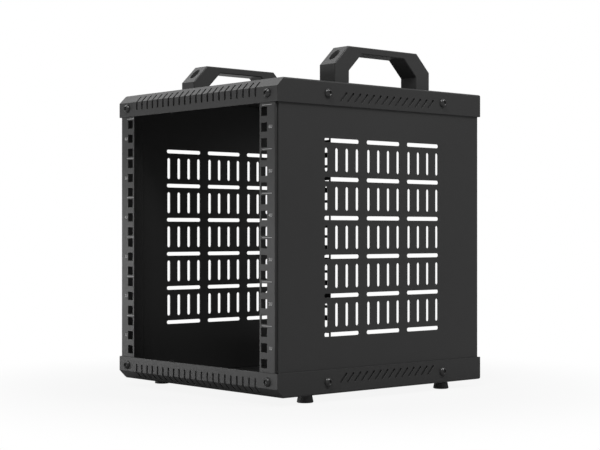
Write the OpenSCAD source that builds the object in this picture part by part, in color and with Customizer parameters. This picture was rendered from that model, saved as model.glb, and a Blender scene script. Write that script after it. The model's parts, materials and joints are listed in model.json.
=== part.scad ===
// Desktop equipment rack of the ten inch size: two folded covers, two vented side panels and four
// punched rails, open at the front and at the back, with carrying handles and rubber feet.
// Millimetres. The front faces -Y, +Z is up, and the feet stand on Z = 0.

/* [Rack bay] */
// Height of the bay in rack units
rack_units = 6; // [3:1:12]
// Height of one rack unit
unit_h = 44.45; // [42:0.05:48]
// Clear width between the rails
bay_w = 222.25; // [200:0.25:460]
// Spare height above the top unit, and the same below the bottom one
bay_spare = 2.5; // [1:0.5:6]
// Depth over the faces of the front and rear rails
body_d = 300.4; // [250:0.2:600]

/* [Rails] */
// Thickness of the rail sheet
rail_t = 1.2; // [0.8:0.1:2]
// Width of the rail's face
rail_w = 25.1; // [22:0.1:40]
// Depth of the rail's side leg
rail_leg = 30; // [16:1:60]
// Outer radius of the rail's bend
rail_bend_r = 1.6; // [1.4:0.1:4]
// From the end of a rail to the bend where the cover's bevel starts
rail_end_gap = 1; // [0.8:0.1:3]
// Side of a square hole
hole_size = 9.2; // [6:0.1:10]
// From the rail's inner edge to the middle of the holes
hole_inset = 7.14; // [6:0.01:9]
// Distance between the holes of one unit
hole_step = 15.875; // [13:0.005:16]

/* [Covers] */
// Thickness of the cover sheet
cover_t = 1.2; // [0.8:0.1:2]
// Height of the skirt that wraps the body
skirt_h = 25; // [22:0.5:40]
// How far the front and rear skirts stand proud of the rail faces
skirt_proud = 0.4; // [0:0.1:1.5]
// Size of the 45 degree bevel along the front edge
bevel = 9; // [5:0.5:12]
// Outer radius of the cover's bends
bend_r = 2; // [1.5:0.1:4]

/* [Cover slots] */
// Width of a slot in the front bevel
front_slot_w = 2.5; // [1.5:0.1:4]
// Distance between the front slots
front_slot_pitch = 10; // [6:0.5:20]
// How far a front slot runs down the skirt
front_slot_drop = 9.3; // [4:0.1:12]
// How far a front slot runs up the bevel, measured along it
front_slot_run = 8.8; // [3:0.1:10]
// Bare skirt between a front screw and the end of the row of slots
front_slot_margin = 13; // [10:0.5:40]
// Width of a leaning side slot
side_slot_w = 2.2; // [1.5:0.1:3]
// Length of a leaning side slot
side_slot_l = 13.3; // [8:0.1:16]
// Distance between the side slots
side_slot_pitch = 10; // [6:0.5:20]
// From the skirt's edge to the middle of the side slots
side_slot_rise = 9.7; // [8:0.1:12]
// Bare skirt between a side screw and the end of the row of slots
side_slot_margin = 15; // [12:0.5:40]

/* [Side panels] */
// Thickness of the panel sheet
panel_t = 1.5; // [0.8:0.1:2]
// How far the panel's edges lie behind the rail faces
panel_setback = 2.3; // [2:0.1:5]
// Radius of the panel's outer edges at the front and at the rear
panel_edge_r = 1.2; // [0.2:0.1:2]
// Width of the vent slots
vent_w = 4.2; // [2:0.1:6]
// Length of an upright vent slot
vent_upright_l = 24.5; // [12:0.5:30]
// Length of a level vent slot
vent_level_l = 49.3; // [30:0.1:55]
// Distance between the upright slots of one group
vent_step = 14.5; // [10:0.1:15]
// Upright slots in one group
vent_group = 4; // [2:1:4]
// Distance between groups along the panel
vent_pitch_y = 60.2; // [58:0.1:90]
// Distance between rows up the panel
vent_pitch_z = 40; // [36:0.5:60]
// Bare panel kept at the front and at the rear of the vents
vent_border_y = 55; // [40:1:80]
// How far the vents are centred in front of the panel's middle
vent_forward = 1.2; // [0:0.1:5]
// Bare panel kept above and below the vents
vent_border_z = 30; // [10:1:50]

/* [Cover screws] */
// Thread diameter
screw_d = 5; // [4:0.5:6]
// Diameter of the head
head_d = 9.5; // [8:0.1:12]
// Height of the head
head_h = 3.7; // [2:0.1:5]
// Height of the head's domed crown
head_crown = 3.2; // [1:0.1:3.5]
// Width across the flats of the socket in the head
head_socket_af = 4; // [2.5:0.1:4.5]
// Depth of the socket in the head
head_socket_depth = 2; // [1:0.1:3]
// Width of the nut across its flats
nut_af = 8; // [7:0.5:10]
// Height of the nut
nut_h = 4; // [3:0.1:6]
// From the rail's outer edge to a front or rear screw
front_screw_inset = 12.3; // [8:0.1:14]
// From the skirt's edge to a front or rear screw
front_screw_rise = 9.3; // [6:0.1:10.5]
// Distance between the two screws on a side skirt
side_screw_pitch = 171; // [140:1:210]

/* [Handles] */
// Length of a handle
handle_l = 141.3; // [120:0.1:180]
// Width of a handle
handle_w = 24.1; // [18:0.1:30]
// Height of a handle above the cover
handle_h = 39.5; // [34:0.5:60]
// Height of the upright end, below the sloped shoulder
handle_end_h = 19.9; // [16:0.1:24]
// Thickness of a leg along the handle
handle_leg = 20.8; // [17:0.1:26]
// Thickness of the bar at the top
handle_bar = 7.2; // [5:0.1:12]
// Height of the finger gap's upright sides
handle_gap_h = 13.7; // [8:0.1:20]
// Bevel along the handle's edges
handle_edge = 0.8; // [0.4:0.1:3]
// How far the handles and the side screws are centred behind the middle of the case
grip_back = 3.3; // [0:0.1:10]
// From the cover's side to the handle
handle_inset = 6.25; // [4:0.05:20]
// From the end of a handle to its screw
handle_screw_inset = 10.65; // [9:0.05:11.5]
// Solid handle left under the screw head
handle_seat = 8; // [4:0.5:12]
// Thread diameter of the handle screw
handle_screw_d = 6; // [4:0.5:6]
// Diameter of the handle screw's head
handle_head_d = 10; // [8:0.1:11]
// Height of the handle screw's head
handle_head_h = 6; // [4:0.5:8]
// Width across the flats of the socket in the head
socket_af = 5; // [3:0.5:6]
// Depth of the socket in the head
socket_depth = 3; // [2:0.5:4]
// Width of the flange nut across its flats
flange_nut_af = 10; // [8:0.5:12]
// Height of the flange nut
flange_nut_h = 6; // [4:0.5:8]
// Diameter of the flange nut's flange
flange_d = 14; // [12:0.5:16]
// Thickness of the flange nut's flange
flange_t = 1.2; // [0.8:0.1:2]

/* [Feet] */
// Height of a foot
foot_h = 8.3; // [7:0.1:20]
// Diameter of a foot where it stands
foot_d = 17.3; // [15:0.1:30]
// Diameter of a foot under the cover
foot_top_d = 14.2; // [13:0.1:30]
// Bevel of the foot's lower edge
foot_edge = 0.7; // [0.3:0.1:1.5]
// From the cover's side to the middle of a foot
foot_inset_x = 14.5; // [12:0.5:40]
// From the cover's front or rear to the middle of a foot
foot_inset_y = 49.5; // [25:0.5:80]
// Thread diameter of the foot screw
foot_screw_d = 4; // [3:0.5:4]
// Diameter of the foot screw's head
foot_head_d = 8; // [6:0.1:9]
// Height of the foot screw's head
foot_head_h = 2.6; // [1.5:0.1:3]
// Rubber left above the head of the foot screw
foot_seat = 4; // [2.5:0.1:4.5]
// Width of the foot nut across its flats
foot_nut_af = 7; // [6:0.5:9]
// Height of the foot nut
foot_nut_h = 3.2; // [2:0.1:5]

/* [Fits] */
// Gap between a cover and what it wraps, and between a rail and its panel
fit = 0.3; // [0.2:0.05:0.6]
// What a clearance hole is wider than its screw
hole_play = 0.6; // [0.4:0.1:1]
// What a nut's hole is wider than its screw
thread_play = 0.2; // [0.1:0.05:0.3]
// What a counterbore is wider than the head in it
head_play = 0.8; // [0.4:0.1:1.5]
// How far a screw's tip stands out of its nut
screw_tip = 1.5; // [0.5:0.5:4]

/* [Hidden] */

$fn = 48;
sheet_black = "#2b2c2e";
handle_black = "#303133";
rubber_black = "#161617";
screw_black = "#3a3b3d";
nut_black = "#3d3e40";

// Overrun of a cutter past the faces that it goes through
past = 1;
// How far a shank reaches up into its head, so that the two are one solid
root = 0.2;
// Thickness of a slice that only gives a hull its end
slice = 0.01;
// Least radius of a bend that is drawn in
least_r = 0.1;
sides = [-1, 1];

// The case: what the covers wrap, and the covers' own size
holes_per_unit = 3;
body_w = bay_w + 2 * (rail_w + fit + panel_t);
cover_w = body_w + 2 * (fit + cover_t);
cover_d = body_d + 2 * skirt_proud;
bay_h = rack_units * unit_h + 2 * bay_spare;
case_h = bay_h + 2 * skirt_h;
case_mid_z = foot_h + case_h / 2;
case_top_z = foot_h + case_h;

// The side skirts are straight behind the bevel, and their slots are centred there
straight_mid_y = bevel / 2;

// Rails end behind the skirts, where their faces step back to clear the sheet
rail_l = bay_h + 2 * (skirt_h - bevel - rail_end_gap);
rail_face_l = bay_h - 2 * fit;
rail_step = cover_t + fit - skirt_proud;
rail_out_x = bay_w / 2 + rail_w;

// Screw places, from the middle of the case
front_screw_x = rail_out_x - front_screw_inset;
front_screw_z = bay_h / 2 + front_screw_rise;
side_screw_y = [for (s = sides) grip_back + s * side_screw_pitch / 2];
side_screw_z = bay_h / 2 + skirt_h / 2;
screw_hole_d = screw_d + hole_play;

// Slots and vents: each row is centred, with as many as its length takes
front_slot_n = floor(2 * (front_screw_x - front_slot_margin) / front_slot_pitch);
side_slot_n = floor((side_screw_pitch - 2 * side_slot_margin) / side_slot_pitch);
vent_cols = floor((body_d - 2 * vent_border_y) / vent_pitch_y);
vent_rows = floor((bay_h - 2 * vent_border_z) / vent_pitch_z);

// Handle and foot places
handle_x = cover_w / 2 - handle_inset - handle_w / 2;
handle_pitch = handle_l - 2 * handle_screw_inset;
handle_screw_y = [for (s = sides) grip_back + s * handle_pitch / 2];
handle_hole_d = handle_screw_d + hole_play;
foot_x = cover_w / 2 - foot_inset_x;
foot_y = cover_d / 2 - foot_inset_y;
foot_hole_d = foot_screw_d + hole_play;

// Evenly spaced places, centred on zero
function row(n, pitch) = [for (i = [0 : 1 : n - 1]) (i - (n - 1) / 2) * pitch];

// Turns a flat shape to the side view, with its x along Y and its y along Z, and thickens it along X
module along_x(thickness) {
    rotate([90, 0, 90])
        linear_extrude(thickness, center = true)
            children();
}

// Turns a flat shape to the front view, with its y along Z, and thickens it along Y
module along_y(thickness) {
    rotate([90, 0, 0])
        linear_extrude(thickness, center = true)
            children();
}

// A slot with round ends, along x
module obround(l, w) {
    square([l - w, w], center = true);
    for (s = sides)
        translate([s * (l - w) / 2, 0])
            circle(d = w);
}

// A rectangle with round corners
module bent_rect(w, h, r) {
    square([w - 2 * r, h], center = true);
    square([w, h - 2 * r], center = true);
    for (sx = sides, sy = sides)
        translate([sx * (w / 2 - r), sy * (h / 2 - r)])
            circle(r);
}

// The case seen from the side, drawn in by inset: a wedge with 45 degree sides bevels its front
module case_outline(inset) {
    d = cover_d / 2 - inset;
    h = case_h / 2 - inset;
    k = bevel - (2 - sqrt(2)) * inset;
    reach = 2 * d + h;
    intersection() {
        bent_rect(2 * d, 2 * h, max(least_r, bend_r - inset));
        translate([k - h - d, 0])
            polygon([[0, 0], [reach, reach], [reach, -reach]]);
    }
}

// The case seen from the front, drawn in by inset
module case_front(inset) {
    bent_rect(cover_w - 2 * inset, case_h - 2 * inset, max(least_r, bend_r - inset));
}

// The whole case as one block, drawn in by inset, about its own middle
module case_block(inset) {
    intersection() {
        along_x(cover_w - 2 * inset) case_outline(inset);
        along_y(cover_d - 2 * inset) case_front(inset);
    }
}

// One leg of a front slot: it starts half a width before the bend and runs on at an angle from +Y
module slot_leg(run, angle) {
    rotate([angle, 0, 0])
        rotate([0, 0, 90])
            linear_extrude(4 * cover_t, center = true)
                translate([run / 2 - front_slot_w / 4, 0])
                    obround(run + front_slot_w / 2, front_slot_w);
}

// The row of front slots: each folds over the bend between the skirt and the bevel
module front_slots() {
    for (x = row(front_slot_n, front_slot_pitch))
        translate([x, -cover_d / 2, case_h / 2 - bevel]) {
            slot_leg(front_slot_drop, -90);
            slot_leg(front_slot_run, 45);
        }
}

// The leaning slots, cut through both side skirts at once
module side_slots(lean) {
    for (y = row(side_slot_n, side_slot_pitch))
        translate([0, straight_mid_y + y, bay_h / 2 + side_slot_rise])
            along_x(cover_w + 2 * past)
                rotate(lean)
                    obround(side_slot_l, side_slot_w);
}

// Screw holes through the front and rear skirts, and through the side skirts
module skirt_screw_holes() {
    for (s = sides)
        translate([s * front_screw_x, 0, front_screw_z])
            along_y(cover_d + 2 * past)
                circle(d = screw_hole_d);
    for (y = side_screw_y)
        translate([0, y, side_screw_z])
            along_x(cover_w + 2 * past)
                circle(d = screw_hole_d);
}

// A cover as it sits on top of the case, about the case's middle
module cover_tray(lean) {
    difference() {
        intersection() {
            case_block(0);
            translate([0, 0, case_h / 2])
                cube([cover_w + past, cover_d + past, 2 * skirt_h], center = true);
        }
        case_block(cover_t);
        front_slots();
        side_slots(lean);
        skirt_screw_holes();
    }
}

module top_cover() {
    color(sheet_black)
        difference() {
            translate([0, 0, case_mid_z])
                cover_tray(45);
            for (s = sides, y = handle_screw_y)
                translate([s * handle_x, y, case_top_z - cover_t / 2])
                    cylinder(d = handle_hole_d, h = cover_t + 2 * past, center = true);
        }
}

module bottom_cover() {
    color(sheet_black)
        difference() {
            translate([0, 0, case_mid_z])
                mirror([0, 0, 1])
                    cover_tray(-45);
            for (sx = sides, sy = sides)
                translate([sx * foot_x, sy * foot_y, foot_h + cover_t / 2])
                    cylinder(d = foot_hole_d, h = cover_t + 2 * past, center = true);
        }
}

// The vent pattern of a side panel: groups of upright slots between lines of level ones
module vents() {
    for (y = row(vent_cols, vent_pitch_y)) {
        for (z = row(vent_rows, vent_pitch_z), step = row(vent_group, vent_step))
            translate([y + step, z])
                rotate(90)
                    obround(vent_upright_l, vent_w);
        for (z = row(vent_rows + 1, vent_pitch_z))
            translate([y, z])
                obround(vent_level_l, vent_w);
    }
}

// The right panel about the case's middle: a vented sheet outside the legs of the rails, with round ends
module panel_sheet() {
    intersection() {
        translate([body_w / 2 + (past - panel_t) / 2, 0, 0])
            along_x(panel_t + past)
                difference() {
                    case_outline(cover_t + fit);
                    translate([-vent_forward, 0])
                        vents();
                    for (y = side_screw_y, s = sides)
                        translate([y, s * side_screw_z])
                            circle(d = screw_hole_d);
                }
        linear_extrude(case_h, center = true)
            bent_rect(body_w, body_d - 2 * panel_setback, panel_edge_r);
    }
}

module right_panel() {
    color(sheet_black)
        translate([0, 0, case_mid_z])
            panel_sheet();
}

module left_panel() {
    color(sheet_black)
        translate([0, 0, case_mid_z])
            mirror([1, 0, 0])
                panel_sheet();
}

// Section of the front right rail, its face set back by a step: a face, a side leg and their bend
module rail_section(step) {
    front_y = step - body_d / 2;
    r = rail_bend_r;
    translate([bay_w / 2, front_y])
        square([rail_w - r, rail_t]);
    translate([rail_out_x - rail_t, front_y + r])
        square([rail_t, rail_leg - step - r]);
    translate([rail_out_x - r, front_y + r])
        intersection() {
            difference() {
                circle(r);
                circle(r - rail_t);
            }
            translate([0, -r])
                square(r);
        }
}

// The front right rail, about the case's middle: its face fills the bay, and its ends step back
// behind the skirts, where the cover screws hold them
module rail() {
    face_y = -body_d / 2 + rail_t / 2;
    end_l = (rail_l - rail_face_l) / 2 + rail_t;
    difference() {
        union() {
            linear_extrude(rail_face_l, center = true)
                rail_section(0);
            for (s = sides)
                translate([0, 0, s * (rail_l - end_l) / 2])
                    linear_extrude(end_l, center = true)
                        rail_section(rail_step);
        }
        for (u = row(rack_units, unit_h), h = row(holes_per_unit, hole_step))
            translate([bay_w / 2 + hole_inset, face_y, u + h])
                cube([hole_size, rail_t + 2 * past, hole_size], center = true);
        for (s = sides)
            translate([front_screw_x, face_y + rail_step, s * front_screw_z])
                along_y(rail_t + 2 * past)
                    circle(d = screw_hole_d);
    }
}

// The rail at one corner of the case
module rail_at(sx, sy) {
    color(sheet_black)
        translate([0, 0, case_mid_z])
            mirror([sx < 0 ? 1 : 0, 0, 0])
                mirror([0, sy > 0 ? 1 : 0, 0])
                    rail();
}

module front_left_rail() { rail_at(-1, -1); }
module front_right_rail() { rail_at(1, -1); }
module rear_left_rail() { rail_at(-1, 1); }
module rear_right_rail() { rail_at(1, 1); }

// Outline of a handle from the side, drawn in by inset, standing on its own foot line
module handle_outline(inset) {
    half = handle_l / 2 - inset;
    top = handle_h - inset;
    slope = handle_h - handle_end_h - (2 - sqrt(2)) * inset;
    polygon([
        [-half, 0], [-half, top - slope], [slope - half, top],
        [half - slope, top], [half, top - slope], [half, 0]
    ]);
}

// Outline of the finger gap, grown by grow, open at the bottom
module finger_gap_outline(grow) {
    half = handle_l / 2 - handle_leg + grow;
    top = handle_h - handle_bar + grow;
    slope = handle_h - handle_bar - handle_gap_h + (2 - sqrt(2)) * grow;
    polygon([
        [-half, -past], [-half, top - slope], [slope - half, top],
        [half - slope, top], [half, top - slope], [half, -past]
    ]);
}

// A handle standing on Z = 0, centred on the Z axis, with bevelled edges and a counterbore over each leg
module handle() {
    core_w = handle_w - 2 * handle_edge;
    difference() {
        hull() {
            along_x(core_w) handle_outline(0);
            along_x(handle_w) handle_outline(handle_edge);
        }
        along_x(handle_w + 2 * past) finger_gap_outline(0);
        for (s = sides)
            hull() {
                translate([s * core_w / 2, 0, 0])
                    along_x(slice) finger_gap_outline(0);
                translate([s * handle_w / 2, 0, 0])
                    along_x(slice) finger_gap_outline(handle_edge);
            }
        for (s = sides)
            translate([0, s * handle_pitch / 2, 0]) {
                translate([0, 0, -past])
                    cylinder(d = handle_hole_d, h = handle_seat + 2 * past);
                translate([0, 0, handle_seat])
                    cylinder(d = handle_head_d + head_play, h = handle_h);
            }
    }
}

module handle_at(sx) {
    color(handle_black)
        translate([sx * handle_x, grip_back, case_top_z])
            handle();
}

module left_handle() { handle_at(-1); }
module right_handle() { handle_at(1); }

// A foot that stands on Z = 0: a cone with a bevelled lower edge, bored for its screw
module foot() {
    difference() {
        rotate_extrude()
            polygon([
                [0, 0], [foot_d / 2 - foot_edge, 0], [foot_d / 2, foot_edge],
                [foot_top_d / 2, foot_h], [0, foot_h]
            ]);
        translate([0, 0, -past])
            cylinder(d = foot_hole_d, h = foot_h + 2 * past);
        translate([0, 0, -past])
            cylinder(d = foot_head_d + head_play, h = foot_h - foot_seat + past);
    }
}

module foot_at(sx, sy) {
    color(rubber_black)
        translate([sx * foot_x, sy * foot_y, 0])
            foot();
}

module front_left_foot() { foot_at(-1, -1); }
module front_right_foot() { foot_at(1, -1); }
module rear_left_foot() { foot_at(-1, 1); }
module rear_right_foot() { foot_at(1, 1); }

// A domed screw seated on Z = 0, its head with a hexagon socket above and its shank below
module domed_screw(d, l, hd, hh) {
    crown = hh * head_crown / head_h;
    recess = hh * head_socket_depth / head_h;
    ball_r = (hd * hd / 4 + crown * crown) / (2 * crown);
    difference() {
        rotate_extrude()
            intersection() {
                translate([0, hh - ball_r])
                    circle(ball_r, $fn = 96);
                square([hd / 2, hh]);
            }
        translate([0, 0, hh - recess])
            cylinder(d = head_socket_af / cos(30), h = hh, $fn = 6);
    }
    translate([0, 0, -l])
        cylinder(d = d, h = l + root);
}

// A cap screw seated on Z = 0, with a hexagon socket
module cap_screw(d, l, hd, hh) {
    difference() {
        cylinder(d = hd, h = hh);
        translate([0, 0, hh - socket_depth])
            cylinder(d = socket_af / cos(30), h = hh, $fn = 6);
    }
    translate([0, 0, -l])
        cylinder(d = d, h = l + root);
}

// A nut that hangs below Z = 0, on a screw that comes down through it
module nut(af, h, d) {
    difference() {
        translate([0, 0, -h])
            cylinder(d = af / cos(30), h = h, $fn = 6);
        nut_thread_hole(h, d);
    }
}

module flange_nut(af, h, d) {
    difference() {
        union() {
            translate([0, 0, -h])
                cylinder(d = af / cos(30), h = h, $fn = 6);
            translate([0, 0, -flange_t])
                cylinder(d = flange_d, h = flange_t);
        }
        nut_thread_hole(h, d);
    }
}

module nut_thread_hole(h, d) {
    translate([0, 0, -h - past])
        cylinder(d = d + thread_play, h = h + 2 * past);
}

// Places a child, seated on Z = 0 and pointing up, at every screw of the front or rear skirts.
// depth is how far the seat lies inside the skirt's outer face; sy is -1 in front and 1 behind.
module at_rail_screws(sy, depth) {
    for (sx = sides, sz = sides)
        translate([sx * front_screw_x, sy * (cover_d / 2 - depth), case_mid_z + sz * front_screw_z])
            rotate([-90 * sy, 0, 0])
                children();
}

// The same for the side skirts, with sx -1 on the left and 1 on the right
module at_panel_screws(sx, depth) {
    for (y = side_screw_y, sz = sides)
        translate([sx * (cover_w / 2 - depth), y, case_mid_z + sz * side_screw_z])
            rotate([0, 90 * sx, 0])
                children();
}

module front_screws() { rail_screws(-1); }
module rear_screws() { rail_screws(1); }
module left_screws() { panel_screws(-1); }
module right_screws() { panel_screws(1); }

module rail_screws(sy) {
    color(screw_black)
        at_rail_screws(sy, 0)
            domed_screw(screw_d, cover_t + fit + rail_t + nut_h + screw_tip, head_d, head_h);
}

module panel_screws(sx) {
    color(screw_black)
        at_panel_screws(sx, 0)
            domed_screw(screw_d, cover_t + fit + panel_t + nut_h + screw_tip, head_d, head_h);
}

module rail_nuts() {
    color(nut_black)
        for (sy = sides)
            at_rail_screws(sy, cover_t + fit + rail_t)
                nut(nut_af, nut_h, screw_d);
}

module panel_nuts() {
    color(nut_black)
        for (sx = sides)
            at_panel_screws(sx, cover_t + fit + panel_t)
                nut(nut_af, nut_h, screw_d);
}

// Places a child at every handle screw, at height z above the top cover
module at_handle_screws(z) {
    for (sx = sides, y = handle_screw_y)
        translate([sx * handle_x, y, case_top_z + z])
            children();
}

module handle_screws() {
    color(screw_black)
        at_handle_screws(handle_seat)
            cap_screw(handle_screw_d, handle_seat + cover_t + flange_nut_h + screw_tip,
                handle_head_d, handle_head_h);
}

module handle_nuts() {
    color(nut_black)
        at_handle_screws(-cover_t)
            flange_nut(flange_nut_af, flange_nut_h, handle_screw_d);
}

// Places a child upside down at every foot, with its seat at height z
module at_foot_screws(z) {
    for (sx = sides, sy = sides)
        translate([sx * foot_x, sy * foot_y, z])
            rotate([180, 0, 0])
                children();
}

module foot_screws() {
    color(screw_black)
        at_foot_screws(foot_h - foot_seat)
            domed_screw(foot_screw_d, foot_seat + cover_t + foot_nut_h + screw_tip, foot_head_d, foot_head_h);
}

module foot_nuts() {
    color(nut_black)
        at_foot_screws(foot_h + cover_t)
            nut(foot_nut_af, foot_nut_h, foot_screw_d);
}

top_cover();
bottom_cover();
left_panel();
right_panel();
front_left_rail();
front_right_rail();
rear_left_rail();
rear_right_rail();
left_handle();
right_handle();
front_left_foot();
front_right_foot();
rear_left_foot();
rear_right_foot();
front_screws();
rear_screws();
left_screws();
right_screws();
rail_nuts();
panel_nuts();
handle_screws();
handle_nuts();
foot_screws();
foot_nuts();
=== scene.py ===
import json
import math

import bmesh
import bpy
from mathutils import Euler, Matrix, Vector


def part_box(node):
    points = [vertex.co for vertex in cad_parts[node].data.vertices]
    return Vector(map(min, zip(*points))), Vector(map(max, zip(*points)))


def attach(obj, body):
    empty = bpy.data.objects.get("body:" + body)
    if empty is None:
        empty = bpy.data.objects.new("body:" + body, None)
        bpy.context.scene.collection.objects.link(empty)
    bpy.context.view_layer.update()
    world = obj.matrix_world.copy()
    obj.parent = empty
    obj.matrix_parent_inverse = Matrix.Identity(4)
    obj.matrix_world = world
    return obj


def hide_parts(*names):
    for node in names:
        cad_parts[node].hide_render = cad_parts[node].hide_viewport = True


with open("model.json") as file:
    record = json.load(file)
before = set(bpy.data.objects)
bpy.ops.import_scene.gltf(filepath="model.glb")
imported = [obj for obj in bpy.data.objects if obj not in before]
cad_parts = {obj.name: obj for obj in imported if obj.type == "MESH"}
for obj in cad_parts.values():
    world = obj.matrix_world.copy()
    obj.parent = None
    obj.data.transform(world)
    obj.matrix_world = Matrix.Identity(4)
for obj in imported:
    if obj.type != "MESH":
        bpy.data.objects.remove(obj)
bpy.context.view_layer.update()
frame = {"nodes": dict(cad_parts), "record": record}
MM = 0.001


# The camera, at the photograph's viewing angle

IMAGE_W = 600
FOCAL_PX = 1429.5
HORIZON_BELOW_MIDDLE_PX = 7.5
SENSOR_MM = 36
CAMERA_PLACE = Vector((1225.2, -1069.3, 174.2)) * MM
CAMERA_TURN_DEG = 48.855


def make_camera():
    data = bpy.data.cameras.new("camera")
    data.sensor_width = SENSOR_MM
    data.lens = FOCAL_PX * SENSOR_MM / IMAGE_W
    data.shift_y = HORIZON_BELOW_MIDDLE_PX / IMAGE_W
    camera = bpy.data.objects.new("camera", data)
    camera.location = CAMERA_PLACE
    camera.rotation_euler = (math.radians(90), 0, math.radians(CAMERA_TURN_DEG))
    bpy.context.scene.collection.objects.link(camera)
    bpy.context.scene.camera = camera


# Nodes, written as expressions

class Socket:
    """A node's output. Arithmetic on it adds Math nodes to its tree."""

    def __init__(self, tree, socket):
        self.tree = tree
        self.socket = socket

    def math(self, operation, *values):
        return self.tree.node("ShaderNodeMath", {"operation": operation}, dict(enumerate(values)))

    def __add__(self, other):
        return self.math("ADD", self, other)

    def __sub__(self, other):
        return self.math("SUBTRACT", self, other)

    def __rsub__(self, other):
        return self.math("SUBTRACT", other, self)

    def __mul__(self, other):
        return self.math("MULTIPLY", self, other)

    def __truediv__(self, other):
        return self.math("DIVIDE", self, other)

    def __rtruediv__(self, other):
        return self.math("DIVIDE", other, self)

    def __mod__(self, other):
        return self.math("FLOORED_MODULO", self, other)

    def __neg__(self):
        return self * -1

    def __abs__(self):
        return self.math("ABSOLUTE", self)

    __radd__ = __add__
    __rmul__ = __mul__

    def sin(self):
        return self.math("SINE", self)

    def cos(self):
        return self.math("COSINE", self)

    def arcsin(self):
        return self.math("ARCSINE", self)

    def whole(self):
        return self.math("FLOOR", self)

    def at_most(self, other):
        return self.math("MINIMUM", self, other)

    def at_least(self, other):
        return self.math("MAXIMUM", self, other)

    def above(self, other):
        """1 where this is more than the other, and 0 elsewhere."""
        return self.math("GREATER_THAN", self, other)

    def ramp(self, low, high):
        """Goes from 0 to 1, smoothly, as this goes from low to high."""
        sockets = {"Value": self, "From Min": low, "From Max": high}
        return self.tree.node("ShaderNodeMapRange", {"interpolation_type": "SMOOTHSTEP"}, sockets)


class Tree:
    """Makes the nodes of one node tree."""

    def __init__(self, nodes_and_links):
        self.nodes = nodes_and_links.nodes
        self.links = nodes_and_links.links

    def node(self, kind, settings=None, sockets=None, output=0):
        """Adds a node: its settings first, then the values or links of its sockets.

        The setting called choices is how many values an Index Switch picks from.
        """
        made = self.nodes.new(kind)
        for name, value in (settings or {}).items():
            if name == "choices":
                while len(made.index_switch_items) < value:
                    made.index_switch_items.new()
            else:
                setattr(made, name, value)
        for name, values in (sockets or {}).items():
            for value in values if isinstance(values, list) else [values]:
                if isinstance(value, Socket):
                    self.links.new(value.socket, made.inputs[name])
                else:
                    made.inputs[name].default_value = value
        return Socket(self, made.outputs[output]) if made.outputs else made

    def combine(self, x, y, z):
        return self.node("ShaderNodeCombineXYZ", None, {"X": x, "Y": y, "Z": z})

    def split(self, vector):
        return [self.node("ShaderNodeSeparateXYZ", None, {"Vector": vector}, axis) for axis in "XYZ"]

    def mix_colours(self, share, first, second):
        settings = {"data_type": "RGBA"}
        return self.node("ShaderNodeMix", settings, {0: share, 6: first, 7: second}, output=2)


class Recipe(Tree):
    """A Geometry Nodes tree whose inputs are named sizes. make() runs it for one set of sizes."""

    SOCKETS = {float: "NodeSocketFloat", Vector: "NodeSocketVector", Euler: "NodeSocketRotation"}

    def __init__(self, name, inputs):
        self.group = bpy.data.node_groups.new(name, "GeometryNodeTree")
        super().__init__(self.group)
        self.identifiers = {}
        for label, kind in inputs.items():
            item = self.group.interface.new_socket(label, in_out="INPUT", socket_type=self.SOCKETS[kind])
            self.identifiers[label] = item.identifier
        self.start = self.nodes.new("NodeGroupInput")

    def __getitem__(self, label):
        return Socket(self, self.start.outputs[label])

    def join(self, *parts):
        return self.node("GeometryNodeJoinGeometry", None, {"Geometry": list(parts)})

    def move(self, part, **change):
        return self.node("GeometryNodeTransform", None, {"Geometry": part, **change})

    def merge(self, part):
        return self.node("GeometryNodeMergeByDistance", None, {"Geometry": part, "Distance": SAME_PLACE})

    def grid(self, size_x, size_y, across, along):
        """A flat grid with as many faces across and along as given."""
        return self.node("GeometryNodeMeshGrid", None, {
            "Size X": size_x, "Size Y": size_y, "Vertices X": across + 1, "Vertices Y": along + 1})

    def angle_and_run(self):
        """On a grid of size 1: an angle that makes a full turn across it, and 0 to 1 along it."""
        across, along, _ = self.split(self.node("GeometryNodeInputPosition"))
        return (across + 0.5) * math.tau, along + 0.5

    def roll_up(self, around, rows, angle, radius, height):
        """A round body: a grid of size 1, rolled up to a radius and a height at each of its points."""
        place = self.combine(radius * angle.cos(), radius * angle.sin(), height)
        grid = self.grid(1.0, 1.0, around, rows)
        return self.merge(self.node("GeometryNodeSetPosition", None, {"Geometry": grid, "Position": place}))

    def lathe(self, around, angle, run, outline):
        """A round body from the radius and height of each point of its section."""
        rows = len(outline) - 1
        row = (run * rows + 0.5).whole()
        radius, height = [self.pick(row, values) for values in zip(*outline)]
        return self.roll_up(around, rows, angle, radius, height)

    def pick(self, index, values):
        """The value whose place in the list is the index."""
        settings = {"data_type": "FLOAT", "choices": len(values)}
        sockets = {"Index": index, **dict(enumerate(values, start=1))}
        return self.node("GeometryNodeIndexSwitch", settings, sockets)

    def end(self, geometry, material):
        """Finishes the tree with its material."""
        whole = self.node("GeometryNodeRealizeInstances", None, {"Geometry": geometry})
        dressed = self.node("GeometryNodeSetMaterial", None, {"Geometry": whole, "Material": material})
        self.group.interface.new_socket("Geometry", in_out="OUTPUT", socket_type="NodeSocketGeometry")
        self.node("NodeGroupOutput", None, {"Geometry": dressed})

    def make(self, name, sizes):
        """Runs the tree and gives its result as a plain mesh object."""
        piece = new_object(name, bpy.data.meshes.new(name))
        modifier = piece.modifiers.new("recipe", "NODES")
        modifier.node_group = self.group
        for label, identifier in self.identifiers.items():
            modifier[identifier] = sizes[label]
        return plain_mesh(piece)


SAME_PLACE = 0.001 * MM


def new_object(name, mesh):
    piece = bpy.data.objects.new(name, mesh)
    bpy.context.scene.collection.objects.link(piece)
    return piece


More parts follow.
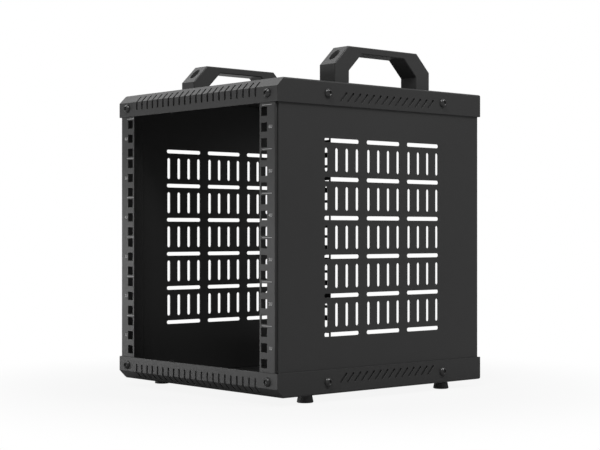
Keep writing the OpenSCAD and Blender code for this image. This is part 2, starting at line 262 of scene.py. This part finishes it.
def plain_mesh(piece):
    """Turns a piece's modifiers into its mesh."""
    evaluated = piece.evaluated_get(bpy.context.evaluated_depsgraph_get())
    mesh = bpy.data.meshes.new_from_object(evaluated)
    mesh.name = piece.name
    piece.modifiers.clear()
    piece.data = mesh
    return piece


# Finishes

CLOUD_SCALE = 9.0
CLOUD_TINT = 0.1
CLOUD_GLOSS = 0.08
PEEL_SCALE = 650.0
GRAIN_SCALE = 2600.0
BUMP_STRENGTH = 0.5


def grey(level):
    return (level, level, level, 1)


def new_material(name):
    material = bpy.data.materials.new(name)
    material.use_nodes = True
    material.node_tree.nodes.clear()
    return material, Tree(material.node_tree)


def finish_surface(tree, shader):
    tree.node("ShaderNodeOutputMaterial", None, {"Surface": shader})


def noise(tree, place, scale, detail):
    return tree.node("ShaderNodeTexNoise", None, {"Vector": place, "Scale": scale, "Detail": detail})


def coated_surface(name, colour, roughness, specular, peel, grain, metallic=0.0):
    """A matt finish: broad clouds in colour and gloss, and a fine grain over a soft peel in its relief."""
    material, tree = new_material(name)
    place = tree.node("ShaderNodeTexCoord", None, None, output="Object")
    clouds = noise(tree, place, CLOUD_SCALE, 3.0)
    tint = tree.mix_colours(clouds, grey(colour * (1 - CLOUD_TINT)), grey(colour * (1 + CLOUD_TINT)))
    relief = noise(tree, place, PEEL_SCALE, 1.0) * peel + noise(tree, place, GRAIN_SCALE, 2.0) * grain
    bump = tree.node("ShaderNodeBump", None, {"Strength": BUMP_STRENGTH, "Distance": 1.0, "Height": relief})
    shader = tree.node("ShaderNodeBsdfPrincipled", None, {
        "Base Color": tint,
        "Roughness": roughness + CLOUD_GLOSS * (clouds - 0.5),
        "Metallic": metallic,
        "Specular IOR Level": specular,
        "Normal": bump,
    })
    finish_surface(tree, shader)
    return material


POWDER_COAT = coated_surface(
    "powder_coat", colour=0.036, roughness=0.42, specular=0.3, peel=0.08 * MM, grain=0.03 * MM)
HANDLE = coated_surface(
    "handle_coat", colour=0.038, roughness=0.4, specular=0.33, peel=0.04 * MM, grain=0.04 * MM)
RUBBER = coated_surface(
    "foot_rubber", colour=0.06, roughness=0.6, specular=0.5, peel=0.02 * MM, grain=0.03 * MM)
SCREW = coated_surface(
    "black_screw", colour=0.05, roughness=0.33, specular=0.5, peel=0.01 * MM, grain=0.01 * MM, metallic=0.4)
INK = coated_surface(
    "printed_ink", colour=0.5, roughness=0.6, specular=0.4, peel=0.01 * MM, grain=0.01 * MM)

FINISHES = {"sheet": POWDER_COAT, "handle": HANDLE, "foot": RUBBER}
SLOTS = {entry["node"]: entry["material_slot"] for entry in frame["record"]["subparts"]}


def stand_for(piece, node):
    """Shows a piece in place of a node: hangs it from the root and hides the node."""
    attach(piece, "root")
    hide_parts(node)


# Sheets, handles and feet, with their edges rounded over

FLAT_DEG = 0.5
SHARP_DEG = 28
EDGE_STEPS = 2
EDGE_RADIUS = {"sheet": 0.22 * MM, "handle": 0.3 * MM, "foot": 0.4 * MM}
LEAST_DETAIL = 0.02 * MM
RAIL_STEP_BAND = 3 * MM


def step_heights(node):
    """Heights of the steps near a rail's ends, which the covers' skirts hide. Other nodes have none."""
    if node.endswith("_rail"):
        return [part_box("top_cover")[0].z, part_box("bottom_cover")[1].z]
    return []


def lies_near(edge, heights):
    return any(all(abs(point.co.z - height) < RAIL_STEP_BAND for point in edge.verts) for height in heights)


def round_over(node):
    """Shows a copy of a node's mesh in its place, with the sharp edges rounded."""
    slot = SLOTS[node]
    steps = step_heights(node)
    name = node + "_softened"
    shape = bmesh.new()
    shape.from_mesh(frame["nodes"][node].data)
    bmesh.ops.remove_doubles(shape, verts=shape.verts, dist=LEAST_DETAIL)
    bmesh.ops.dissolve_limit(
        shape, angle_limit=math.radians(FLAT_DEG), verts=shape.verts, edges=shape.edges)
    rounded = shape.edges.layers.float.new("bevel_weight_edge")
    for edge in shape.edges:
        sharp = edge.calc_face_angle() > math.radians(SHARP_DEG)
        edge[rounded] = float(sharp and not lies_near(edge, steps))
    mesh = bpy.data.meshes.new(name)
    shape.to_mesh(mesh)
    shape.free()
    mesh.materials.append(FINISHES[slot])
    mesh.shade_smooth()
    piece = new_object(name, mesh)
    edges = piece.modifiers.new("edges", "BEVEL")
    edges.width = EDGE_RADIUS[slot]
    edges.segments = EDGE_STEPS
    edges.limit_method = "WEIGHT"
    edges.use_clamp_overlap = False
    edges.loop_slide = False
    piece.modifiers.new("shading", "WEIGHTED_NORMAL")
    stand_for(plain_mesh(piece), node)


# Screws and nuts

AROUND = 48
CROWN_STEPS = 8
SHARP_HARDWARE_DEG = 38
SIXTH = math.tau / 6
THREAD_DEPTH = 0.54
ROWS_PER_THREAD = 4
THREADS_BELOW = 2
SPARE_THREADS = 3
HEAD_ROOT = 0.2 * MM
SMALL_EDGE = 0.25 * MM

PLACE_INPUTS = {"Across": float, "Along": float, "Turn": Euler, "Middle": Vector}
SHANK_INPUTS = {"Thread": float, "Pitch": float, "Length": float, "Head": float, "Head height": float}
DOME_INPUTS = {"Crown": float}
SOCKET_INPUTS = {"Socket flats": float, "Socket depth": float}
NUT_INPUTS = {"Flats": float, "Height": float, "Bore": float}
FLANGE_INPUTS = {"Flange": float, "Flange height": float}


def hexagon_radius(angle, flats):
    """Distance from the middle of a hexagon to its outline, at an angle."""
    return flats / (2 * (angle % SIXTH - SIXTH / 2).cos())


def threaded_shank(recipe):
    """A screw's shank below its seat: the thread is a true helix, bevelled at both ends.

    The helix starts below the shank's end and has spare threads. What lies past an end is laid flat on it.
    """
    thread, pitch, length = recipe["Thread"], recipe["Pitch"], recipe["Length"]
    angle, run = recipe.angle_and_run()
    rows = ROWS_PER_THREAD * (length / pitch + (SPARE_THREADS + 0.5)).whole()
    row = (run * rows + 0.5).whole()
    climb = pitch * (row / ROWS_PER_THREAD + angle / math.tau - THREADS_BELOW) - length
    height = climb.at_least(-length).at_most(HEAD_ROOT)
    depth = pitch * THREAD_DEPTH
    wave = abs(2 * (row % ROWS_PER_THREAD) / ROWS_PER_THREAD - 1)
    from_end = (height + length).at_most(HEAD_ROOT - height)
    radius = (thread / 2 - depth * wave).at_most(thread / 2 - depth + from_end)
    not_an_end = row.above(0.5) * (rows - 0.5).above(row)
    return recipe.roll_up(AROUND // 2, rows, angle, radius * not_an_end, height)


def socket_outline(recipe, angle, rim):
    """The end of a head's section: from its rim's height, over a bevelled edge, down into the socket."""
    socket = hexagon_radius(angle, recipe["Socket flats"])
    floor = recipe["Head height"] - recipe["Socket depth"]
    return [
        (socket + SMALL_EDGE, rim), (socket, rim - SMALL_EDGE),
        (socket, floor), (0.0, floor - SMALL_EDGE)]


def domed_head(recipe):
    """A domed head above its seat, with a hexagon socket. The dome itself ends in the socket's round rim."""
    radius, height, crown = recipe["Head"] / 2, recipe["Head height"], recipe["Crown"]
    ball = (radius * radius + crown * crown) / (2 * crown)
    angle, run = recipe.angle_and_run()
    mouth = recipe["Socket flats"] / math.sqrt(3) + SMALL_EDGE
    outer, inner = (radius / ball).arcsin(), (mouth / ball).arcsin()
    outline = [(0.0, 0.0), (radius - SMALL_EDGE, 0.0), (radius, SMALL_EDGE)]
    for step in range(CROWN_STEPS + 1):
        tilt = outer + (inner - outer) * (step / CROWN_STEPS)
        outline.append((ball * tilt.sin(), height - ball + ball * tilt.cos()))
    rim = height - ball + ball * inner.cos()
    return recipe.lathe(AROUND, angle, run, outline + socket_outline(recipe, angle, rim)[1:])


def cap_head(recipe):
    """A cylindrical head above its seat, with a hexagon socket."""
    radius, height = recipe["Head"] / 2, recipe["Head height"]
    angle, run = recipe.angle_and_run()
    return recipe.lathe(AROUND, angle, run, [
        (0.0, 0.0), (radius, 0.0), (radius, height - SMALL_EDGE), (radius - SMALL_EDGE, height),
        *socket_outline(recipe, angle, height)])


def nut_body(recipe, flanged):
    """A nut that hangs below its seat, with bevelled corners and a countersunk bore."""
    height, bore, flats = recipe["Height"], recipe["Bore"] / 2, recipe["Flats"]
    angle, run = recipe.angle_and_run()
    corner = hexagon_radius(angle, flats)
    face = flats / 2 - SMALL_EDGE
    drop = (corner - face) * math.tan(SIXTH / 2)
    mouth = bore + SMALL_EDGE
    seat = [(corner, -drop), (face, 0.0)]
    if flanged:
        rim, thickness = recipe["Flange"] / 2, recipe["Flange height"]
        seat = [(corner, -2 * thickness), (rim, -thickness), (rim, 0.0)]
    return recipe.lathe(AROUND, angle, run, [
        (mouth, -height), (face, -height), (corner, drop - height), *seat,
        (mouth, 0.0), (bore, -SMALL_EDGE), (bore, SMALL_EDGE - height), (mouth, -height)])


def set_of_four(recipe, part):
    """Ends a recipe: the part at the corners of a rectangle, turned and moved to its face of the rack."""
    corners = recipe.grid(recipe["Across"], recipe["Along"], 1, 1)
    group = recipe.node("GeometryNodeInstanceOnPoints", None, {"Points": corners, "Instance": part})
    recipe.end(recipe.move(group, Rotation=recipe["Turn"], Translation=recipe["Middle"]), SCREW)
    return recipe


def domed_screws():
    recipe = Recipe("domed_screws", {**PLACE_INPUTS, **SHANK_INPUTS, **DOME_INPUTS, **SOCKET_INPUTS})
    return set_of_four(recipe, recipe.join(domed_head(recipe), threaded_shank(recipe)))


def cap_screws():
    recipe = Recipe("cap_screws", {**PLACE_INPUTS, **SHANK_INPUTS, **SOCKET_INPUTS})
    return set_of_four(recipe, recipe.join(cap_head(recipe), threaded_shank(recipe)))


def hexagon_nuts():
    recipe = Recipe("hexagon_nuts", {**PLACE_INPUTS, **NUT_INPUTS})
    return set_of_four(recipe, nut_body(recipe, flanged=False))


def flange_nuts():
    recipe = Recipe("flange_nuts", {**PLACE_INPUTS, **NUT_INPUTS, **FLANGE_INPUTS})
    return set_of_four(recipe, nut_body(recipe, flanged=True))


def in_metres(sizes_mm):
    return {label: size * MM for label, size in sizes_mm.items()}


COVER_SCREW = in_metres({
    "Thread": 5, "Pitch": 0.8, "Head": 9.5, "Head height": 3.7, "Crown": 3.2,
    "Socket flats": 4, "Socket depth": 2})
FOOT_SCREW = in_metres({
    "Thread": 4, "Pitch": 0.7, "Head": 8, "Head height": 2.6, "Crown": 2.25,
    "Socket flats": 4, "Socket depth": 1.4})
HANDLE_SCREW = in_metres({
    "Thread": 6, "Pitch": 1, "Head": 10, "Head height": 6, "Socket flats": 5, "Socket depth": 3})
COVER_NUT = in_metres({"Flats": 8, "Height": 4, "Bore": 5.2})
FOOT_NUT = in_metres({"Flats": 7, "Height": 3.2, "Bore": 4.2})
HANDLE_NUT = in_metres({"Flats": 10, "Height": 6, "Bore": 6.2, "Flange": 14, "Flange height": 1.2})
HANDLE_SEAT = 8 * MM
FOOT_SEAT = 4 * MM

FACING_FRONT = Euler((math.radians(90), 0, 0))
FACING_REAR = Euler((math.radians(-90), 0, 0))
FACING_RIGHT = Euler((0, math.radians(90), 0))
FACING_LEFT = Euler((0, math.radians(-90), 0))
FACING_UP = Euler((0, 0, 0))
FACING_DOWN = Euler((math.radians(180), 0, 0))
SKIRTS = {
    "front": (FACING_FRONT, "rail_nuts"), "rear": (FACING_REAR, "rail_nuts"),
    "left": (FACING_LEFT, "panel_nuts"), "right": (FACING_RIGHT, "panel_nuts"),
}


def reach(node, facing):
    """How far a node's box reaches in the direction that something faces."""
    outward = facing.to_matrix() @ Vector((0, 0, 1))
    return max(corner.dot(outward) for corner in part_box(node))


def places_of(screws, facing, head, seat):
    """Where a set of four goes: at the places of a node's screws, with its seat that far out."""
    low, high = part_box(screws)
    turn = facing.to_matrix()
    across, along, _ = turn.transposed() @ (high - low)
    outward = turn @ Vector((0, 0, 1))
    middle = (low + high) / 2
    middle += outward * (seat - middle.dot(outward))
    return {"Across": abs(across) - head, "Along": abs(along) - head, "Turn": facing, "Middle": middle}


def add_set(recipe, sizes, name, node, screws, facing, head, seat):
    """Makes one set of four, with screws as long as the node's, and shows it in place of the node."""
    inward = Euler(facing)
    inward.rotate_axis("X", math.pi)
    length = seat + reach(screws, inward)
    places = places_of(screws, facing, head, seat)
    piece = recipe.make(name, {**sizes, **places, "Length": length})
    piece.data.shade_smooth()
    piece.data.set_sharp_from_angle(angle=math.radians(SHARP_HARDWARE_DEG))
    stand_for(piece, node)


def make_hardware():
    domed, nuts = domed_screws(), hexagon_nuts()
    head = COVER_SCREW["Head"]
    for side, (facing, nut_node) in SKIRTS.items():
        screws = side + "_screws"
        seat = reach("top_cover", facing)
        add_set(domed, COVER_SCREW, screws + "_turned", screws, screws, facing, head, seat)
        add_set(nuts, COVER_NUT, side + "_nuts", nut_node, screws, facing, head, reach(nut_node, facing))
    head = HANDLE_SCREW["Head"]
    seat = HANDLE_SEAT - reach("left_handle", FACING_DOWN)
    place = ("handle_screws", FACING_UP, head)
    add_set(cap_screws(), HANDLE_SCREW, "handle_screws_turned", "handle_screws", *place, seat)
    seat = reach("handle_nuts", FACING_UP)
    add_set(flange_nuts(), HANDLE_NUT, "handle_nuts_cut", "handle_nuts", *place, seat)
    head = FOOT_SCREW["Head"]
    seat = FOOT_SEAT - reach("front_left_foot", FACING_UP)
    place = ("foot_screws", FACING_DOWN, head)
    add_set(domed, FOOT_SCREW, "foot_screws_turned", "foot_screws", *place, seat)
    seat = reach("foot_nuts", FACING_DOWN)
    add_set(nuts, FOOT_NUT, "foot_nuts_cut", "foot_nuts", *place, seat)


# Unit marks printed on the front rails: a line at the top of each unit, and its number with a U

UNITS = 6
FIGURE_STEP = 0.35 * MM
MARK_INPUTS = {
    "Line from": float, "Line to": float, "Line width": float, "Figure at": float, "Figure size": float,
    "Boldness": float, "Unit": float, "Lowest": float, "Film": float, "Face": float}
MARK_SIZES = in_metres({
    "Line width": 0.6, "Figure size": 4.6, "Boldness": 0.1, "Unit": 44.45, "Film": 0.03})
MARK_PLACES = {
    "front_left_rail": in_metres({"Line from": -125, "Line to": -111.4, "Figure at": -126.5}),
    "front_right_rail": in_metres({"Line from": 115, "Line to": 130.5, "Figure at": 128.2}),
}


def unit_marks():
    recipe = Recipe("unit_marks", MARK_INPUTS)
    film = recipe["Film"]
    start, stop = recipe["Line from"], recipe["Line to"]
    size = recipe.combine(stop - start, recipe["Line width"], 2 * film)
    line = recipe.node("GeometryNodeMeshCube", None, {"Size": size})
    parts = []
    for unit in range(1, UNITS + 1):
        top = recipe["Lowest"] + unit * recipe["Unit"]
        parts.append(recipe.move(line, Translation=recipe.combine((start + stop) / 2, top, 0.0)))
        figure = printed_figure(recipe, f"{unit}U")
        middle = top - recipe["Unit"] / 2
        parts.append(recipe.move(figure, Translation=recipe.combine(recipe["Figure at"], middle, -film)))
    flat = recipe.join(*parts)
    face = recipe.combine(0.0, recipe["Face"], 0.0)
    recipe.end(recipe.move(flat, Rotation=FACING_FRONT, Translation=face), INK)
    return recipe


def printed_figure(recipe, figure):
    """A figure as a closed film of ink, twice as thick as it stands proud."""
    letters = recipe.node(
        "GeometryNodeStringToCurves", {"align_x": "CENTER", "align_y": "MIDDLE"},
        {"String": figure, "Size": recipe["Figure size"]})
    curves = recipe.node("GeometryNodeRealizeInstances", None, {"Geometry": letters})
    steps = {"Curve": curves, "Length": FIGURE_STEP}
    points = recipe.node("GeometryNodeResampleCurve", {"mode": "LENGTH"}, steps)
    outline = recipe.node("GeometryNodeSetCurveNormal", {"mode": "Z_UP"}, {"Curve": points})
    outward = recipe.node("GeometryNodeInputNormal")
    scaling = {0: outward, "Scale": recipe["Boldness"]}
    growth = recipe.node("ShaderNodeVectorMath", {"operation": "SCALE"}, scaling)
    bold = recipe.node("GeometryNodeSetPosition", None, {"Geometry": outline, "Offset": growth})
    sheet = recipe.node("GeometryNodeFillCurve", None, {"Curve": bold})
    raised = recipe.node("GeometryNodeExtrudeMesh", None, {
        "Mesh": sheet, "Offset Scale": 2 * recipe["Film"], "Individual": False})
    under = recipe.node("GeometryNodeFlipFaces", None, {"Mesh": sheet})
    return recipe.merge(recipe.join(raised, under))


def print_unit_marks():
    recipe = unit_marks()
    for rail, places in MARK_PLACES.items():
        low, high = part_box(rail)
        lowest = (low.z + high.z - UNITS * MARK_SIZES["Unit"]) / 2
        piece = recipe.make(rail + "_marks", {**MARK_SIZES, **places, "Lowest": lowest, "Face": low.y})
        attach(piece, "root")


# The floor, the background and the lamps

FLOOR_HALF = 6.0
FLOOR_GREY = 0.4
NEAR_FLOOR = 0.2
FAR_FLOOR = 0.5
NEAR_WHITE = 0.9
FLOOR_IN_GLOSS = 0.4
WORLD_LIGHT = 0.02
WORLD_IN_GLOSS = 0.3
MIDDLE = Vector((0, 0, 0.17))


def ray(tree, kind):
    return tree.node("ShaderNodeLightPath", None, None, output=kind)


def background_rays(tree):
    """Two outputs: 1 for rays from the camera, and 1 for rays that come off a gloss or through glass."""
    return ray(tree, "Is Camera Ray"), ray(tree, "Is Glossy Ray") + ray(tree, "Is Transmission Ray")


def make_floor():
    """A pale floor that turns into the white background away from the object and keeps its shadow."""
    half = FLOOR_HALF
    mesh = bpy.data.meshes.new("floor")
    corners = [(-half, -half, 0), (half, -half, 0), (half, half, 0), (-half, half, 0)]
    mesh.from_pydata(corners, [], [(0, 1, 2, 3)])
    floor = new_object("floor", mesh)
    material, tree = new_material("floor")
    place = tree.node("ShaderNodeTexCoord", None, None, output="Object")
    distance = tree.node("ShaderNodeVectorMath", {"operation": "LENGTH"}, {0: place}, output="Value")
    away = distance.ramp(NEAR_FLOOR, FAR_FLOOR)
    camera, mirrored = background_rays(tree)
    lit = tree.node("ShaderNodeBsdfDiffuse", None, {"Color": grey(FLOOR_GREY)})
    white = tree.node("ShaderNodeEmission", None, {"Color": grey(1), "Strength": 1.0})
    share = camera * (NEAR_WHITE + (1 - NEAR_WHITE) * away) + mirrored * FLOOR_IN_GLOSS * away
    finish_surface(tree, tree.node("ShaderNodeMixShader", None, {0: share, 1: lit, 2: white}))
    mesh.materials.append(material)


def make_background():
    world = bpy.data.worlds.new("studio")
    bpy.context.scene.world = world
    world.use_nodes = True
    world.node_tree.nodes.clear()
    tree = Tree(world.node_tree)
    camera, mirrored = background_rays(tree)
    strength = WORLD_LIGHT + (1 - WORLD_LIGHT) * camera + (WORLD_IN_GLOSS - WORLD_LIGHT) * mirrored
    backdrop = tree.node("ShaderNodeBackground", None, {"Color": grey(1), "Strength": strength})
    tree.node("ShaderNodeOutputWorld", None, {"Surface": backdrop})


def make_lamp(name, place, size, watts):
    """A soft lamp that shines on the middle of the rack and that the camera doesn't see."""
    data = bpy.data.lights.new(name, "AREA")
    data.shape = "RECTANGLE"
    data.size, data.size_y = size
    data.energy = watts
    lamp = bpy.data.objects.new(name, data)
    lamp.location = place
    lamp.rotation_euler = (MIDDLE - Vector(place)).to_track_quat("-Z", "Y").to_euler()
    lamp.visible_camera = False
    bpy.context.scene.collection.objects.link(lamp)


LAMPS = {
    "key": ((1.2, 0.5, 1.8), (0.5, 0.5), 21.5),
    "front": ((0.7, -1.0, 1.9), (0.6, 0.6), 18.5),
    "high_left": ((-1.2, -0.3, 1.5), (1.2, 1.2), 8.7),
    "right_rear": ((1.6, 1.4, 0.9), (1.2, 1.2), 1.2),
    "rear": ((-0.6, 1.8, 1.2), (1.2, 1.2), 8),
    "low_front_left": ((-1.5, -1.5, 0.05), (2.4, 0.1), 11.3),
}

bpy.context.scene.view_settings.view_transform = "Standard"
make_camera()
for node, slot in SLOTS.items():
    if slot in EDGE_RADIUS:
        round_over(node)
make_hardware()
print_unit_marks()
make_floor()
make_background()
for name, lamp in LAMPS.items():
    make_lamp(name, *lamp)
